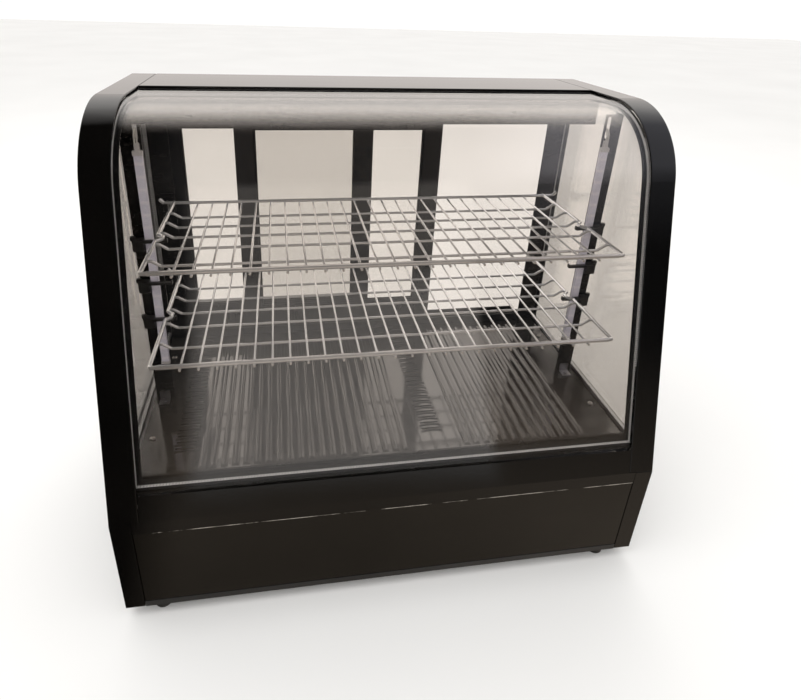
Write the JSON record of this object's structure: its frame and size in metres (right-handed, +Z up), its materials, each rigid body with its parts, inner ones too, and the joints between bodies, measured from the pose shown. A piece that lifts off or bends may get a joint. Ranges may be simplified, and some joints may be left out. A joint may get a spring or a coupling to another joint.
{
  "type": "heated food display case",
  "caption": "Countertop heated display case: curved double-glazed front, glazed sides, wire shelves over a ribbed deck, rear sliding glass doors.",
  "frame": {"origin": "middle of the overall footprint, on the surface that the feet stand on", "axes": "+Z up; +X to the right as seen by a customer at the curved front; +Y from the front towards the doors at the back"},
  "size_m": [0.682, 0.403, 0.6135],
  "materials": {
    "gloss_black_steel": "high-gloss black powder coat, faint orange peel",
    "access_black": "gloss black powder coat",
    "inner_black": "satin black coat",
    "deck_enamel": "dark grey-brown semi-gloss enamel on pressed steel",
    "base_steel": "satin black coat on galvanised sheet",
    "zinc_steel": "zinc-plated steel",
    "element_steel": "heat-tinted stainless sheath",
    "screw_steel": "nickel-plated screws",
    "chrome_wire": "bright chrome plate on steel wire",
    "clear_glass": "clear double glazing",
    "door_glazing": "clear single glazing",
    "glass_border": "black printed border",
    "spacer_bar": "mill-finish perforated spacer bar",
    "black_seal": "black silicone",
    "foot_rubber": "matt black rubber",
    "door_black": "satin black extrusion",
    "track_black": "satin black extrusion",
    "clip_black": "moulded black nylon",
    "lamp_lens": "pale frosted lens",
    "lamp_cap": "moulded end caps",
    "fan_black": "moulded black plastic",
    "driver_case": "white potted case",
    "terminal_ceramic": "glazed ceramic",
    "thermostat_body": "moulded body, steel shaft",
    "knob_black": "fluted black knob",
    "switch_black": "black rocker housing",
    "rocker_red": "translucent red rocker",
    "rocker_green": "translucent green rocker",
    "pilot_amber": "amber lens",
    "gland_black": "moulded nylon gland"
  },
  "bodies": {
    "case": {"base_floor": "base_steel", "base_side_left": "gloss_black_steel", "base_side_right": "gloss_black_steel", "cable_gland": "gland_black", "deck_bearers": "zinc_steel", "deck_plate": "deck_enamel", "door_track_bottom": "track_black", "door_track_top": "track_black", "fan_motor": "fan_black", "fan_shroud": "fan_black", "feet": "foot_rubber", "foot_screws": "screw_steel", "front_access_panel": "access_black", "front_glass_border": "glass_border", "front_glass_inner": "clear_glass", "front_glass_outer": "clear_glass", "front_rail": "gloss_black_steel", "front_spacer": "spacer_bar", "front_upright_left": "inner_black", "front_upright_right": "inner_black", "glass_channel": "inner_black", "header_cover": "inner_black", "heater_brackets": "zinc_steel", "heating_elements": "element_steel", "led_driver": "driver_case", "light_bar_ends": "lamp_cap", "light_bar_left": "lamp_lens", "light_bar_right": "lamp_lens", "panel_screws": "screw_steel", "pilot_lamp": "pilot_amber", "rear_panel": "gloss_black_steel", "rear_posts": "inner_black", "rear_sill": "inner_black", "shelf_clips_front": "clip_black", "shelf_rests_rear": "inner_black", "side_frame_left": "gloss_black_steel", "side_frame_right": "gloss_black_steel", "side_glass_left": "clear_glass", "side_glass_right": "clear_glass", "side_spacers": "spacer_bar", "switch_bodies": "switch_black", "terminal_block": "terminal_ceramic", "thermostat": "thermostat_body", "top_panel": "gloss_black_steel", "top_seal": "black_seal", "upright_feet": "zinc_steel"},
    "left_door": {"door_frame_left": "door_black", "door_glass_left": "door_glazing", "door_pull_left": "clip_black"},
    "right_door": {"door_frame_right": "door_black", "door_glass_right": "door_glazing", "door_pull_right": "clip_black"},
    "upper_shelf": {"shelf_frame_upper": "chrome_wire", "shelf_grid_upper": "chrome_wire"},
    "lower_shelf": {"shelf_frame_lower": "chrome_wire", "shelf_grid_lower": "chrome_wire"},
    "thermostat_knob": {"thermostat_knob": "knob_black"},
    "heat_rocker": {"heat_rocker": "rocker_red"},
    "light_rocker": {"light_rocker": "rocker_green"},
    "fan_wheel": {"fan_impeller": "fan_black"}
  },
  "joints": [
    {"name": "left_door_slide", "type": "slide", "parent": "case", "child": "left_door", "axis": [1, 0, 0], "range_m": [0, 0.298]},
    {"name": "right_door_slide", "type": "slide", "parent": "case", "child": "right_door", "axis": [1, 0, 0], "range_m": [-0.109, 0.189]},
    {"name": "upper_shelf_lift", "type": "slide", "parent": "case", "child": "upper_shelf", "axis": [0, 0, 1], "range_m": [0, 0.005]},
    {"name": "lower_shelf_lift", "type": "slide", "parent": "case", "child": "lower_shelf", "axis": [0, 0, 1], "range_m": [0, 0.005]},
    {"name": "thermostat_turn", "type": "hinge", "parent": "case", "child": "thermostat_knob", "pos_m": [0.25, 0.1935, 0.106], "axis": [0, 1, 0], "range_deg": [0, 270]},
    {"name": "heat_rocker_tilt", "type": "hinge", "parent": "case", "child": "heat_rocker", "pos_m": [0.16, 0.1835, 0.106], "axis": [1, 0, 0], "range_deg": [0, 20]},
    {"name": "light_rocker_tilt", "type": "hinge", "parent": "case", "child": "light_rocker", "pos_m": [0.2, 0.1835, 0.106], "axis": [1, 0, 0], "range_deg": [0, 20]},
    {"name": "fan_spin", "type": "hinge", "parent": "case", "child": "fan_wheel", "pos_m": [0.062, -0.0115, 0.037], "axis": [0, 0, 1], "continuous": true}
  ]
}
